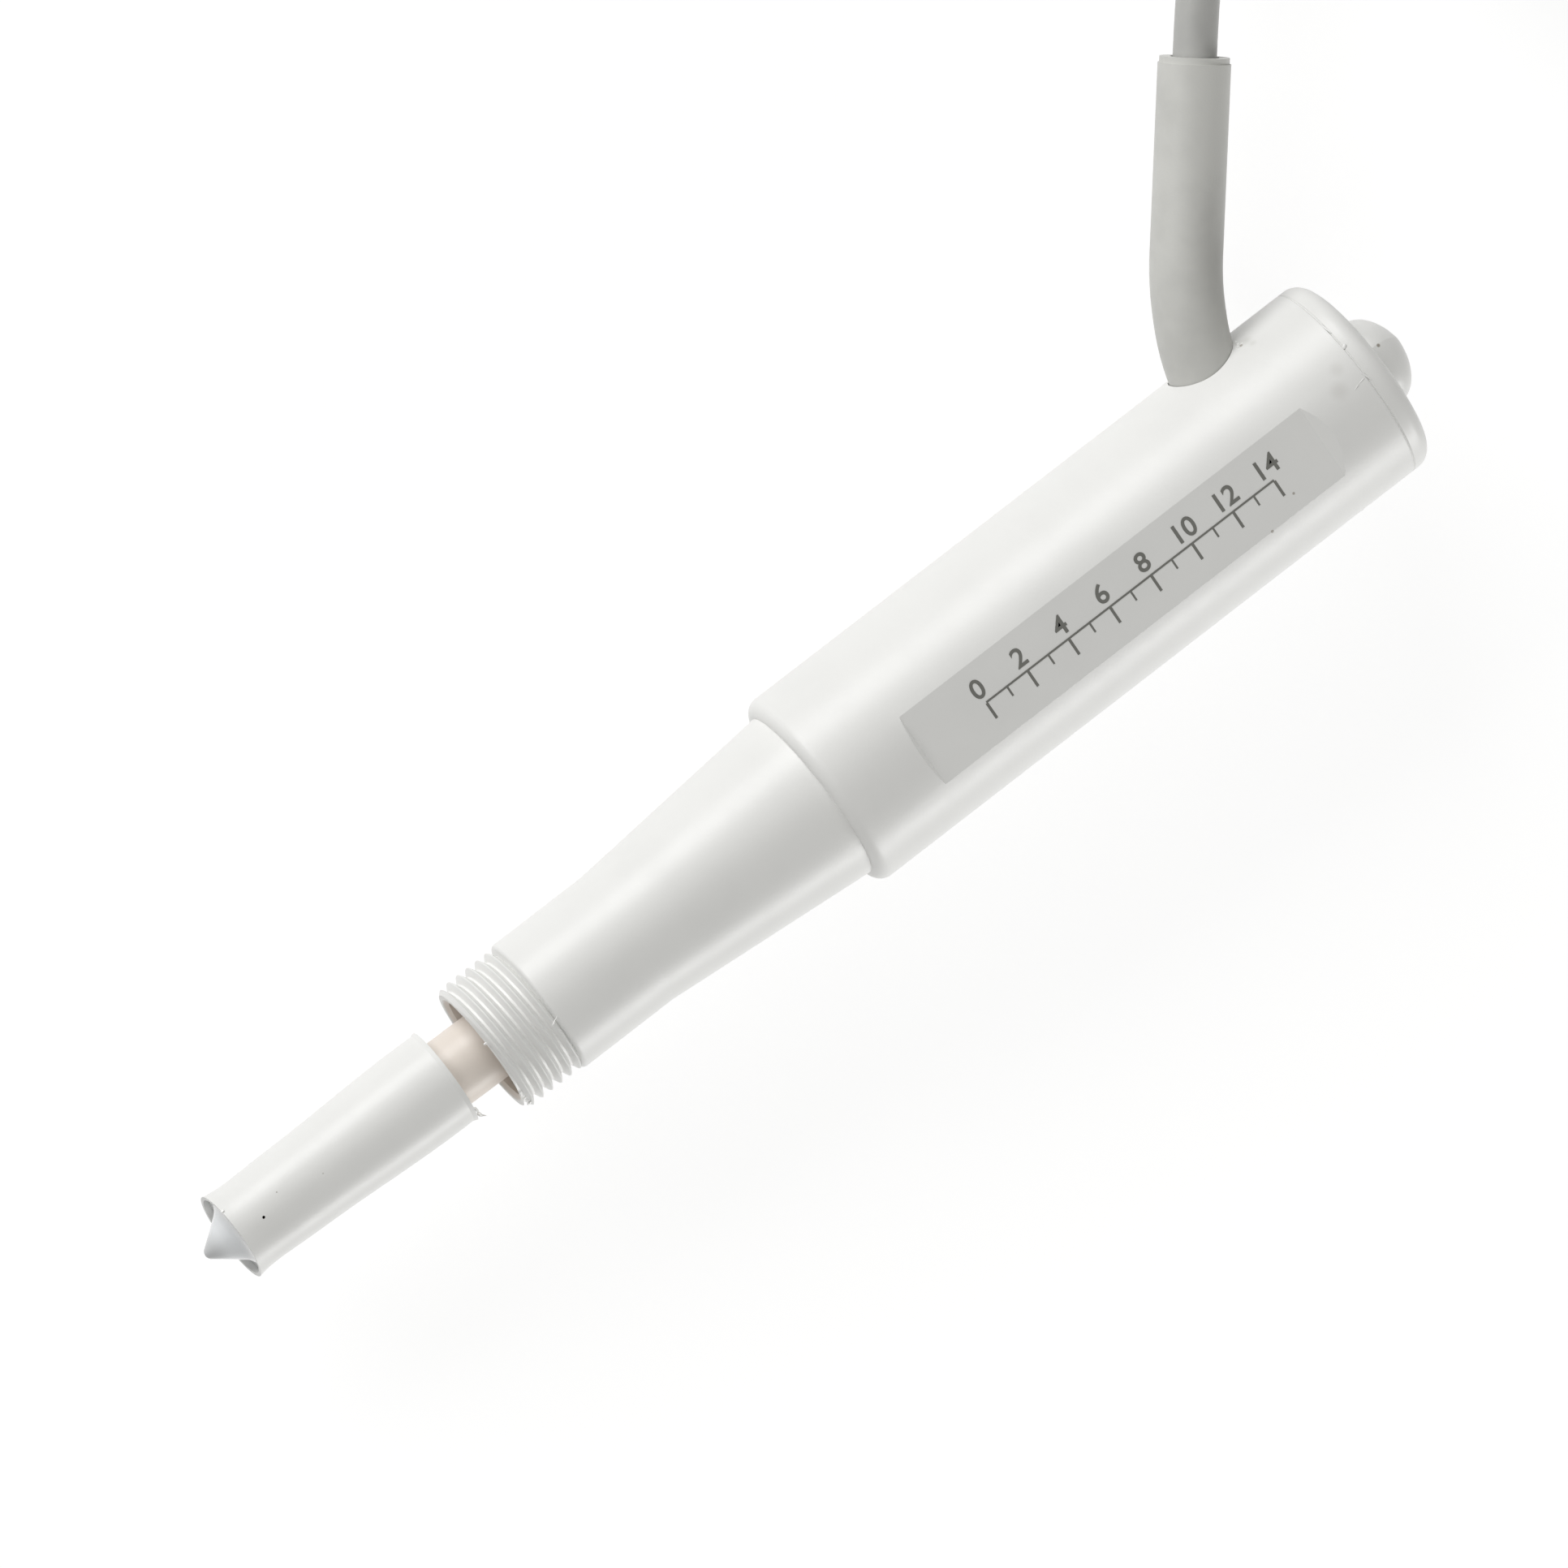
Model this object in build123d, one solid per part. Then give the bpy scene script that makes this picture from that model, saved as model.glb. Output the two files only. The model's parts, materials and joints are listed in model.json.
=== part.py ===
from build123d import *
import math
import os

# A pH and temperature probe lying on its side, with a side cable that ends in a round plug.
# Millimetres. +X runs along the probe from the glass tip to the end cap, +Y is the side that the
# cable leaves on, and +Z is up, out of the label flat. The probe lies on z = 0.
# Places along the probe are measured from the front face of the handle, the tip side negative.

# Handle: a moulded tube with one flat
handle_radius = 12.5
handle_wall = 2.5
handle_front_rounding = 1.6
seam_chamfer = 0.15
port_to_end = 13.55
label_start = 10.75
label_rear_margin = 6.85
label_half_angle = 22.5
label_front_slope = 0.6
label_rear_slope = 1.4
rail_front_overrun = 0.5
rail_rear_overrun = 1.5
rail_reach = 2.6
rail_height = 4.6
rail_grip = 1.2

# End cap with its knob
cap_thickness = 2.9
cap_rounding = 2.0
cap_spigot_length = 6.0
cap_spigot_wall = 2.0
knob_height = 5.0
knob_base_height = 1.0
knob_radius = 6.26
knob_crease_angle = 7.0
knob_crease_turn = 30.5
knob_wall = 2.4
knob_core_rounding = 1.2

# Neck: tapered, then straight, then threaded
taper_length = 26.5
straight_length = 13.0
thread_length = 7.6
neck_shoulder = 1.7
neck_radius = 8.55
neck_end_slope = 0.4
neck_end_rounding = 0.5
neck_bore_radius = 6.6
neck_bore_step = 20.0
mouth_chamfer = 0.5
spigot_length = 9.0
spigot_wall = 2.3
thread_major_radius = 8.33
thread_pitch = 1.337
thread_depth = 0.856
thread_middle_width = 0.62
thread_root_width = 1.08
thread_gap = 0.1
thread_embed = 0.3
thread_lead_height = 0.25

# Seal ring between neck and handle
ring_section = 1.2
ring_place = 5.0

# Inner electrode: stem, sleeve over its lower end, glass cone
stem_radius = 4.2
stem_wall = 0.8
stem_shown = 5.0
stem_top = 12.0
sleeve_length = 30.0
sleeve_rim_radius = 6.05
sleeve_rim_length = 0.5
sleeve_top_radius = 5.85
sleeve_shoulder_radius = 5.79
sleeve_fall_radius = 5.46
sleeve_waist_radius = 5.24
sleeve_flare_radius = 5.3
sleeve_flare_length = 1.0
sleeve_end_radius = 5.48
sleeve_end_cut = 4.6
sleeve_cut_turn = 18.0
electrode_lean = 0.9
electrode_pivot = 40.3
cone_reach = 4.1
cone_nose_radius = 0.85
cone_half_angle = 37.4
cone_foot_rounding = 2.0
cone_recess = 0.5
cone_flange = 1.2
cone_flange_radius = 4.95
glass_wall = 0.5
glass_tube_radius = 1.8
junction_hole_radius = 0.18
junction_hole_place = 3.7
junction_hole_turn = 13.0
seal_start = 9.0
seal_length = 12.0
plug_depth = 4.0
plug_collar = 1.5
inner_wire_radius = 0.3
reference_wire_radius = 0.25
sensor_radius = 0.65
sensor_length = 3.6
sensor_lead_radius = 0.17
sensor_lead_spacing = 0.7

# Amplifier board and what is on it, placed from the board's front end
board_front_gap = 2.0
board_length = 44.0
board_side_gap = 1.5
board_thickness = 1.6
chip_length = 9.6
chip_width = 6.4
chip_height = 3.2
chip_stand = 0.4
chip_place = 5.0
leg_pitch = 2.54
leg_width = 0.5
leg_thickness = 0.3
leg_spread = 3.81
leg_depth = 0.8
leg_count = 4
resistor_radius = 0.9
resistor_length = 3.4
resistor_lead_radius = 0.25
resistor_pitch = 3.2
resistor_count = 4
resistor_stand = 0.2
resistor_lead_reach = 1.2
resistor_place = 17.0
capacitor_radius = 2.0
capacitor_height = 5.4
capacitor_place = 27.0
pad_radius = 0.45
pad_height = 1.2
pad_pitch = 2.6
rear_pad_pitch = 2.2
rear_pad_count = 5
rear_pad_edge = 2.3
front_pad_count = 4
pad_inset = 2.0

# Cable, its sleeve and its clamp
cable_radius = 2.5
cable_sleeve_radius = 4.15
cable_sleeve_bore_radius = 2.8
cable_sleeve_lip_radius = 3.98
cable_sleeve_lip = 0.7
port_clearance = 0.1
clamp_radius = 4.6
clamp_length = 2.4
jacket_end = 1.2
core_radius = 0.5
core_pitch = 0.85
core_lift = 0.6
core_landing = 2.0
board_to_port = 8.45
# The bends of the sleeve, from the port's place on the wall of the bore
sleeve_bends = [(0.0, -2.6, 0.0), (1.5, 4.2, 0.0), (4.8, 10.9, -0.1), (20.52, 31.06, -1.2)]

# Coil of put-away cable, its tie and the plug lying on it
coil_centre = (153.05, 44.0)
coil_inner_turn = 24.5
coil_outer_turn = 29.5
coil_layers = 3
coil_margin = 0.1
coil_lead_in = 18.6
tail_turn = 22.0
tail_root = 4.0
tie_thickness = 0.5
tie_width = 8.0
tie_turn = 215.0
cable_first_run = 9.0
cable_bends = [(97.8, 55.75, 8.9), (107.0, 61.3, 5.7)]
cable_last_bend = (117.2, 65.1)

# Round plug
boot_length = 12.0
boot_rear_radius = 3.6
boot_front_radius = 5.0
boot_rib = 0.5
boot_rib_count = 4
boot_hold = 6.0
grip_length = 17.0
grip_radius = 7.5
grip_rib = 0.5
grip_rib_count = 12
grip_rounding = 1.2
plug_shell_radius = 6.6
plug_shell_wall = 0.9
plug_shell_length = 12.0
plug_shell_hold = 8.0
plug_shell_step = 0.3
key_slot_length = 4.0
key_slot_width = 1.8
insert_length = 7.0
pin_radius = 0.73
pin_length = 8.0
pin_hold = 4.0
pin_circle = 3.5
pin_count = 7
pin_gap_angle = 45.0

# Clearances between mating pieces
snug = 0.05
slide_fit = 0.1

# Values worked out from the sizes above
bore_radius = handle_radius - handle_wall
spigot_radius = bore_radius - slide_fit
neck_root_radius = handle_radius - neck_shoulder
neck_rear_bore_radius = spigot_radius - spigot_wall
board_start = spigot_length + board_front_gap
board_width = 2 * (bore_radius - board_side_gap)
port_place = board_start + board_length + board_to_port
handle_length = port_place + port_to_end
label_length = handle_length - label_start - label_rear_margin
sleeve_path = [(port_place + x, bore_radius + y, z) for x, y, z in sleeve_bends]
label_height = handle_radius * math.cos(math.radians(label_half_angle))
neck_length = taper_length + straight_length + thread_length
sleeve_top = -(neck_length + stem_shown)
sleeve_end = sleeve_top - sleeve_length
cone_face = sleeve_end + cone_recess
cone_tip = cone_face - cone_reach
cap_end = handle_length + cap_thickness
stem_low = cone_face + cone_flange
stem_bore_radius = stem_radius - stem_wall
front_x = (-cone_tip - cap_end - knob_height) / 2
axis_z = handle_radius
coil_low = tie_thickness + snug + coil_margin + cable_radius
coil_top = coil_low + (2 * coil_layers - 1) * cable_radius
plug_axis_z = coil_top + coil_margin + grip_radius + snug
board_top = board_thickness / 2

probe_place = Pos(front_x, 0, axis_z)
lean = Pos(-electrode_pivot, 0, 0) * Rot(0, 0, -electrode_lean) * Pos(electrode_pivot, 0, 0)
electrode_place = probe_place * lean
plug_x = coil_centre[0] + tail_turn
plug_y = coil_centre[1] + coil_inner_turn - tail_turn
plug_place = Pos(plug_x, plug_y, plug_axis_z) * Rot(0, 0, -90)


def turned(points):
    """A solid turned round the X axis from a closed outline of (x, radius) points."""
    return revolve(make_face(Polyline(*points, close=True)), axis=Axis.X)


def rod(x, y, z, radius, length):
    """A cylinder along +X that starts at x."""
    return Pos(x + length / 2, y, z) * Rot(0, 90, 0) * Cylinder(radius, length)


def disc_across(point, direction, radius):
    """A round face square to a direction."""
    return Plane(origin=point, z_dir=direction) * Circle(radius).face()


def soft_path(points):
    """Straight runs joined by tangent arcs, each as large as its two runs allow."""
    corners = [Vector(*p) for p in points]
    radii = []
    for before, here, after in zip(corners, corners[1:], corners[2:]):
        arriving = here - before
        leaving = after - here
        half_turn = math.radians(arriving.get_angle(leaving)) / 2
        radii.append(0.45 * min(arriving.length, leaving.length) / math.tan(half_turn))
    return FilletPolyline(*corners, radius=radii), radii


def swept_rod(points, radius):
    """A round rod along a soft path."""
    path, radii = soft_path(points)
    start = Vector(*points[0])
    section = disc_across(start, Vector(*points[1]) - start, radius)
    return sweep(section, path=path)


def handle_shell():
    body = turned([
        (0, bore_radius), (0, handle_radius), (handle_length - seam_chamfer, handle_radius),
        (handle_length, handle_radius - seam_chamfer), (handle_length, bore_radius),
    ])
    front_edge = body.edges().filter_by(GeomType.CIRCLE).group_by(Axis.X)[0].sort_by(SortBy.RADIUS)[-1]
    body = fillet(front_edge, handle_front_rounding)
    rail_start = board_start - rail_front_overrun
    rail_length = rail_front_overrun + board_length + rail_rear_overrun
    rail_middle = rail_start + rail_length / 2
    slot_height = board_thickness + 2 * snug
    for side in (-1, 1):
        rail = Pos(rail_middle, side * (bore_radius - rail_reach / 2 + 0.3), 0)
        rail = rail * Box(rail_length, rail_reach + 0.6, rail_height)
        slot_width = rail_grip + slide_fit
        slot = Pos(rail_middle, side * (board_width / 2 + slide_fit - slot_width / 2), 0)
        slot = slot * Box(rail_length, slot_width, slot_height)
        body += rail - slot
    body -= label_pocket()
    return body - cable_port()


def label_pocket():
    """The flat is sunk into the handle between two sloping ends."""
    low = label_height
    high = handle_radius + 1
    rise = (high - low) / (handle_radius - low)
    front = label_start
    rear = label_start + label_length
    outline = Polyline(
        (front + label_front_slope, 0, low),
        (rear - label_rear_slope, 0, low),
        (rear - label_rear_slope + label_rear_slope * rise, 0, high),
        (front + label_front_slope - label_front_slope * rise, 0, high),
        close=True,
    )
    return extrude(make_face(outline), amount=handle_radius, dir=(0, 1, 0), both=True)


def cable_port():
    start = Vector(*sleeve_path[0])
    direction = Vector(*sleeve_path[1]) - start
    port = disc_across(start - direction.normalized(), direction, cable_sleeve_radius + port_clearance)
    return extrude(port, amount=direction.length + 1, dir=direction)


def end_cap():
    disc = turned([
        (handle_length, 0), (handle_length, handle_radius - seam_chamfer),
        (handle_length + seam_chamfer, handle_radius), (cap_end, handle_radius), (cap_end, 0),
    ])
    rim = disc.edges().filter_by(GeomType.CIRCLE).group_by(Axis.X)[-1]
    disc = fillet(rim, cap_rounding)
    spigot_end = handle_length - cap_spigot_length
    spigot = rod(spigot_end, 0, 0, spigot_radius, cap_spigot_length)
    spigot -= rod(spigot_end, 0, 0, spigot_radius - cap_spigot_wall, cap_spigot_length)
    core_depth = cap_thickness + knob_height - knob_wall
    core = rod(handle_length, 0, 0, knob_radius - knob_wall, core_depth)
    core = fillet(core.edges().group_by(Axis.X)[-1], knob_core_rounding)
    return disc + spigot + knob() - core


def knob():
    """Two domed halves that meet in a crease."""
    shift = knob_radius * math.sin(math.radians(knob_crease_angle))
    crown = knob_height - knob_base_height
    foot = cap_end - 0.5
    base = cap_end + knob_base_height
    outline = Polyline((base, knob_radius), (foot, knob_radius), (foot, 0), (base + crown, 0))
    dome = EllipticalCenterArc((base, 0), crown, knob_radius, arc_size=90)
    whole = revolve(make_face(outline + dome), axis=Axis.X)
    halves = Pos(0, shift, 0) * whole & Pos(0, -shift, 0) * whole
    return Rot(-knob_crease_turn, 0, 0) * halves


def thread_ridge():
    """One helical ridge with a rounded crest and soft feet, along +Z from the mouth."""
    root = thread_major_radius - thread_depth
    turns_length = thread_length + 2 * thread_pitch
    helix = Helix(pitch=thread_pitch, height=turns_length, radius=root)
    half_foot = (thread_pitch - thread_gap) / 2
    crest = Spline(
        (-thread_embed, -half_foot),
        (0, -thread_root_width / 2),
        (thread_depth / 2, -thread_middle_width / 2),
        (thread_depth, 0),
        (thread_depth / 2, thread_middle_width / 2),
        (0, thread_root_width / 2),
        (-thread_embed, half_foot),
    )
    outline = crest + Line((-thread_embed, half_foot), (-thread_embed, -half_foot))
    section = Plane(origin=helix @ 0, x_dir=(1, 0, 0), z_dir=helix % 0) * make_face(outline)
    return sweep(section, path=helix, is_frenet=True)


def threaded_end():
    """The neck's end with its thread, trimmed to the lead-in at the mouth and to the shoulder."""
    root = thread_major_radius - thread_depth
    mouth = -neck_length
    shoulder = mouth + thread_length + neck_end_slope / 2
    spare = 3 * thread_pitch
    core = rod(mouth - spare, 0, 0, root, thread_length + 2 * spare)
    ridge = Pos(mouth - thread_pitch, 0, 0) * Rot(0, 90, 0) * thread_ridge()
    outer = thread_major_radius + thread_depth
    envelope = turned([
        (mouth, 0), (mouth, root + thread_lead_height), (mouth + outer - root - thread_lead_height, outer),
        (shoulder, outer), (shoulder, 0),
    ])
    return (core + ridge) & envelope


def neck():
    root = thread_major_radius - thread_depth
    mouth = -neck_length
    thread_end = mouth + thread_length
    neck_end = thread_end + neck_end_slope
    body = turned([
        (mouth, 0), (mouth, root), (thread_end, root), (neck_end, neck_radius),
        (-taper_length, neck_radius), (0, neck_root_radius), (0, spigot_radius),
        (spigot_length, spigot_radius), (spigot_length, 0),
    ])
    rims = body.edges().filter_by(GeomType.CIRCLE)
    body = fillet(rims.sort_by(lambda rim: abs(rim.position_at(0).X - neck_end))[0], neck_end_rounding)
    body += threaded_end()
    bore = rod(mouth, 0, 0, neck_bore_radius, neck_length - neck_bore_step)
    chamfer_cut = turned([
        (mouth, 0), (mouth, neck_bore_radius + mouth_chamfer), (mouth + mouth_chamfer, neck_bore_radius),
        (mouth + mouth_chamfer, 0),
    ])
    rear_bore = rod(-neck_bore_step, 0, 0, neck_rear_bore_radius, neck_bore_step + spigot_length)
    groove_floor = bore_radius - snug - ring_section - snug
    groove_width = ring_section + 2 * slide_fit
    groove = rod(ring_place - groove_width / 2, 0, 0, bore_radius, groove_width)
    groove -= rod(ring_place - groove_width / 2, 0, 0, groove_floor, groove_width)
    return body - bore - chamfer_cut - rear_bore - groove


def seal_ring():
    section = ring_section / 2
    return Pos(ring_place, 0, 0) * Rot(0, 90, 0) * Torus(bore_radius - snug - section, section)


def stem_tube():
    length = -stem_top - stem_low
    return rod(stem_low, 0, 0, stem_radius, length) - rod(stem_low, 0, 0, stem_bore_radius, length) - junction_hole()


def junction_hole():
    """The small hole in the side of the tip that lets the electrolyte out."""
    return Pos(sleeve_end + junction_hole_place, 0, 0) * Rot(-junction_hole_turn, 0, 0) * (
        Pos(0, 0, sleeve_top_radius / 2 + 1) * Cylinder(junction_hole_radius, sleeve_top_radius)
    )


def tip_sleeve():
    """The moulded sleeve: a sharp flared rim, a falling flank, a waist and a flared end cut askew."""
    top = sleeve_top
    spare = sleeve_end_radius * math.tan(math.radians(sleeve_end_cut)) + sleeve_rim_length
    bore = stem_radius + snug
    seat = cone_face + cone_flange
    flank = Spline(
        (top - sleeve_rim_length, sleeve_top_radius),
        (top - 0.27 * sleeve_length, sleeve_shoulder_radius),
        (top - 0.54 * sleeve_length, sleeve_fall_radius),
        (top - 0.84 * sleeve_length, sleeve_waist_radius),
        (sleeve_end + sleeve_flare_length, sleeve_flare_radius),
        (sleeve_end, sleeve_end_radius),
    )
    rest = Polyline(
        (sleeve_end, sleeve_end_radius), (sleeve_end - spare, sleeve_end_radius),
        (sleeve_end - spare, cone_flange_radius + snug), (seat, cone_flange_radius + snug), (seat, bore),
        (top, bore), (top, sleeve_rim_radius), (top - sleeve_rim_length, sleeve_top_radius),
    )
    body = revolve(make_face(flank + rest), axis=Axis.X)
    knife_size = 4 * sleeve_end_radius
    knife = Pos(sleeve_end, 0, 0) * Rot(-sleeve_cut_turn, 0, 0) * Rot(0, sleeve_end_cut, 0)
    knife = knife * Pos(-knife_size / 2, 0, 0) * Box(knife_size, knife_size, knife_size)
    return body - knife - junction_hole()


def glass_cone():
    """The pH glass: a hollow cone on a flange, blown in one with its inner tube."""
    half = math.radians(cone_half_angle)
    nose_centre = cone_tip + cone_nose_radius
    touch = (nose_centre - cone_nose_radius * math.sin(half), cone_nose_radius * math.cos(half))
    flange = cone_flange_radius
    foot = touch[1] + (cone_face - touch[0]) * math.tan(half)
    tube_end = -(stem_top + plug_depth / 2)
    bore = glass_tube_radius - glass_wall
    cavity_tip = cone_tip + cone_nose_radius + glass_wall
    nose = CenterArc((nose_centre, 0), cone_nose_radius, 180, -(90 - cone_half_angle))
    flank = Polyline(
        touch, (cone_face, foot), (cone_face, flange), (cone_face + cone_flange - snug, flange),
        (cone_face + cone_flange - snug, glass_tube_radius), (tube_end, glass_tube_radius),
        (tube_end, bore), (cone_face, bore), (cavity_tip, bore / 4), (cavity_tip, 0), (cone_tip, 0),
    )
    outline = make_face(nose + flank)
    corner = outline.vertices().sort_by_distance((cone_face, foot, 0))[0]
    outline = fillet(corner, cone_foot_rounding)
    return revolve(outline, axis=Axis.X)


def stem_seal():
    start = seal_start - neck_length
    outer = neck_bore_radius - snug
    ring = rod(start, 0, 0, outer, seal_length)
    return ring - lean * rod(start - 5, 0, 0, stem_radius + snug, seal_length + 10)


def wire_places():
    """Where the fine wires run in the stem: reference wire and the two sensor leads, as (y, z)."""
    middle = (stem_bore_radius + glass_tube_radius) / 2
    return (0, -middle), (-sensor_lead_spacing / 2, middle), (sensor_lead_spacing / 2, middle)


def stem_plug():
    through = plug_depth + 2 * plug_collar
    lower = -(stem_top + plug_depth)
    body = rod(lower, 0, 0, stem_bore_radius - snug, plug_depth)
    body += rod(-stem_top, 0, 0, stem_radius, plug_collar)
    tube_end = -(stem_top + plug_depth / 2)
    body -= rod(lower, 0, 0, glass_tube_radius + snug, tube_end - lower)
    body -= rod(tube_end, 0, 0, inner_wire_radius + snug, through)
    reference, *leads = wire_places()
    body -= rod(lower, *reference, reference_wire_radius + snug, through)
    for lead in leads:
        body -= rod(lower, *lead, sensor_lead_radius + snug, through)
    return body


def inner_wire():
    start = cone_face
    return rod(start, 0, 0, inner_wire_radius, -stem_top + plug_collar - start)


def reference_wire():
    start = stem_low + 2 * junction_hole_place
    return rod(start, *wire_places()[0], reference_wire_radius, -stem_top + plug_collar - start)


def temperature_sensor():
    place = (stem_bore_radius + glass_tube_radius) / 2
    start = stem_low + 0.3
    bead = rod(start, 0, place, sensor_radius, sensor_length)
    return fillet(bead.edges().filter_by(GeomType.CIRCLE), 0.8 * sensor_radius)


def sensor_leads():
    start = stem_low + 0.3 + sensor_length
    return Compound(children=[
        rod(start, *place, sensor_lead_radius, -stem_top + plug_collar - start) for place in wire_places()[1:]
    ])


def circuit_board():
    return Pos(board_start + board_length / 2, 0, 0) * Box(board_length, board_width, board_thickness)


def amplifier_chip():
    body = Pos(0, 0, chip_stand + chip_height / 2) * Box(chip_length, chip_width, chip_height)
    body = chamfer(body.edges().filter_by(Axis.X), 0.4)
    notch = Pos(-chip_length / 2, 0, chip_stand + chip_height) * Cylinder(0.8, 1.0)
    body -= notch
    first = -(leg_count - 1) * leg_pitch / 2
    shoulder = chip_stand + chip_height / 2
    for side in (-1, 1):
        for i in range(leg_count):
            x = first + i * leg_pitch
            arm_width = leg_spread - chip_width / 2 + leg_thickness / 2
            arm = Pos(x, side * (chip_width / 2 + arm_width / 2 - 0.05), shoulder)
            body += arm * Box(leg_width, arm_width + 0.1, leg_thickness)
            leg = Pos(x, side * leg_spread, shoulder / 2)
            body += leg * Box(leg_width, leg_thickness, shoulder)
    return Pos(board_start + chip_place + chip_length / 2, 0, board_top) * body


def resistors():
    """Lying resistors in a row, each with its two bent leads."""
    lift = resistor_radius + resistor_stand
    span = resistor_length + 2 * resistor_lead_reach
    group = []
    for i in range(resistor_count):
        x = board_start + resistor_place + span / 2
        y = (i - (resistor_count - 1) / 2) * resistor_pitch
        body = rod(-resistor_length / 2, 0, lift, resistor_radius, resistor_length)
        body = fillet(body.edges().filter_by(GeomType.CIRCLE), 0.35 * resistor_radius)
        body += rod(-span / 2, 0, lift, resistor_lead_radius, span)
        for end in (-1, 1):
            body += Pos(end * span / 2, 0, lift / 2) * Cylinder(resistor_lead_radius, lift)
            body += Pos(end * span / 2, 0, lift) * Sphere(resistor_lead_radius)
        group.append(Pos(x, y, board_top) * body)
    return Compound(children=group)


def capacitor():
    can = Cylinder(capacitor_radius, capacitor_height)
    can = fillet(can.edges().filter_by(GeomType.CIRCLE), 0.35)
    return Pos(board_start + capacitor_place + capacitor_radius, 0, board_top + capacitor_height / 2) * can


def front_pads():
    first = -(front_pad_count - 1) * pad_pitch / 2
    return [(board_start + pad_inset, first + i * pad_pitch) for i in range(front_pad_count)]


def rear_pads():
    """The pins for the cable's cores stand to the side away from the port."""
    x = board_start + board_length - pad_inset
    first = rear_pad_edge - board_width / 2
    return [(x, first + i * rear_pad_pitch) for i in range(rear_pad_count)]


def board_pins():
    """Turned solder pins along both short edges of the board."""
    return Compound(children=[
        Pos(x, y, board_top + pad_height / 2) * Cylinder(pad_radius, pad_height)
        for x, y in front_pads() + rear_pads()
    ])


def electrode_leads():
    """Thin leads from the top of the stem to the front pins of the board."""
    top = board_top + pad_height
    reference, *leads = wire_places()
    starts = [reference, (0, 0), *leads]
    starts.sort()
    group = []
    for (x, y), start in zip(front_pads(), starts):
        radius = sensor_lead_radius
        begin = electrode_point(-stem_top + plug_collar, *start)
        height = top + radius
        group.append(swept_rod([
            begin, (begin[0] + 6, begin[1] * 0.8 + y * 0.2, begin[2] * 0.7 + height * 0.3),
            (x - 6, y * 0.9 + begin[1] * 0.1, height), (x, y, height),
        ], radius))
    return Compound(children=group)


def electrode_point(x, y, z):
    """A point of the leaning electrode, in the handle's axes."""
    return tuple((lean * Pos(x, y, z)).position)


def cable_sleeve():
    """The soft tube round the cable, bent towards the cap, with a thin lip at its open end."""
    path, _ = soft_path(sleeve_path)
    start = Vector(*sleeve_path[0])
    direction = Vector(*sleeve_path[1]) - start
    outer = sweep(disc_across(start, direction, cable_sleeve_radius), path=path)
    end = Vector(*sleeve_path[-1])
    out = (end - Vector(*sleeve_path[-2])).normalized()
    lip_start = end - out * cable_sleeve_lip
    past = extrude(disc_across(lip_start, out, cable_sleeve_radius + 1), amount=2 * cable_sleeve_lip, dir=out)
    past -= extrude(disc_across(lip_start, out, cable_sleeve_lip_radius), amount=2 * cable_sleeve_lip, dir=out)
    outer -= past
    return outer - sweep(disc_across(start, direction, cable_sleeve_bore_radius), path=path)


def cable_tail():
    """The stretch of cable that the sleeve holds, down to where its jacket ends in the handle."""
    start = Vector(*sleeve_path[0])
    direction = (Vector(*sleeve_path[1]) - start).normalized()
    inside = start - direction * (clamp_length + jacket_end)
    return swept_rod([tuple(inside), *sleeve_path[1:]], cable_radius)


def cable_clamp():
    """A ring crimped on the jacket behind the sleeve, so that the cable can't be pulled out."""
    start = Vector(*sleeve_path[0])
    direction = (Vector(*sleeve_path[1]) - start).normalized()
    foot = start - direction * clamp_length
    ring = extrude(disc_across(foot, direction, clamp_radius), amount=clamp_length, dir=direction)
    ring = chamfer(ring.edges().filter_by(GeomType.CIRCLE), 0.4)
    return ring - extrude(disc_across(foot, direction, cable_radius + snug), amount=clamp_length, dir=direction)


def core_wires():
    """The cores of the cable, fanned out from the end of the jacket to the rear pins of the board."""
    start = Vector(*sleeve_path[0])
    direction = (Vector(*sleeve_path[1]) - start).normalized()
    jacket = start - direction * (clamp_length + jacket_end)
    across = Vector(direction.Y, -direction.X, 0)
    height = board_top + pad_height + snug + core_radius
    group = []
    for i, (x, y) in enumerate(reversed(rear_pads())):
        lift = core_lift if i % 2 else -core_lift
        begin = jacket + across * (i - (rear_pad_count - 1) / 2) * core_pitch + Vector(0, 0, lift)
        corner = begin - direction * ((begin.Y - y) / direction.Y)
        points = [tuple(begin), tuple(corner), (x + core_landing, y, height), (x, y, height)]
        group.append(swept_rod(points, core_radius))
    return Compound(children=group)


def exit_point():
    x, y, z = sleeve_path[-1]
    return (x + front_x, y, z + axis_z)


def cable_route():
    """The free stretch of the cable, from the sleeve down to the coil's lead-in."""
    leaving = (Vector(*sleeve_path[-1]) - Vector(*sleeve_path[-2])).normalized()
    first_bend = Vector(*exit_point()) + leaving * cable_first_run
    last_bend = (*cable_last_bend, coil_low)
    return [exit_point(), tuple(first_bend), *cable_bends, last_bend, (*lead_in_start(), coil_low)]


def lead_in_start():
    """Where the cable meets the coil, one lead-in before it touches the outer turn."""
    x0, y0 = cable_last_bend
    to_centre = Vector(coil_centre[0] - x0, coil_centre[1] - y0)
    heading = math.atan2(to_centre.Y, to_centre.X) + math.asin(coil_outer_turn / to_centre.length)
    tangent_length = math.sqrt(to_centre.length ** 2 - coil_outer_turn ** 2)
    length = tangent_length - coil_lead_in
    return x0 + length * math.cos(heading), y0 + length * math.sin(heading)


def cable():
    return swept_rod(cable_route(), cable_radius)


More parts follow.
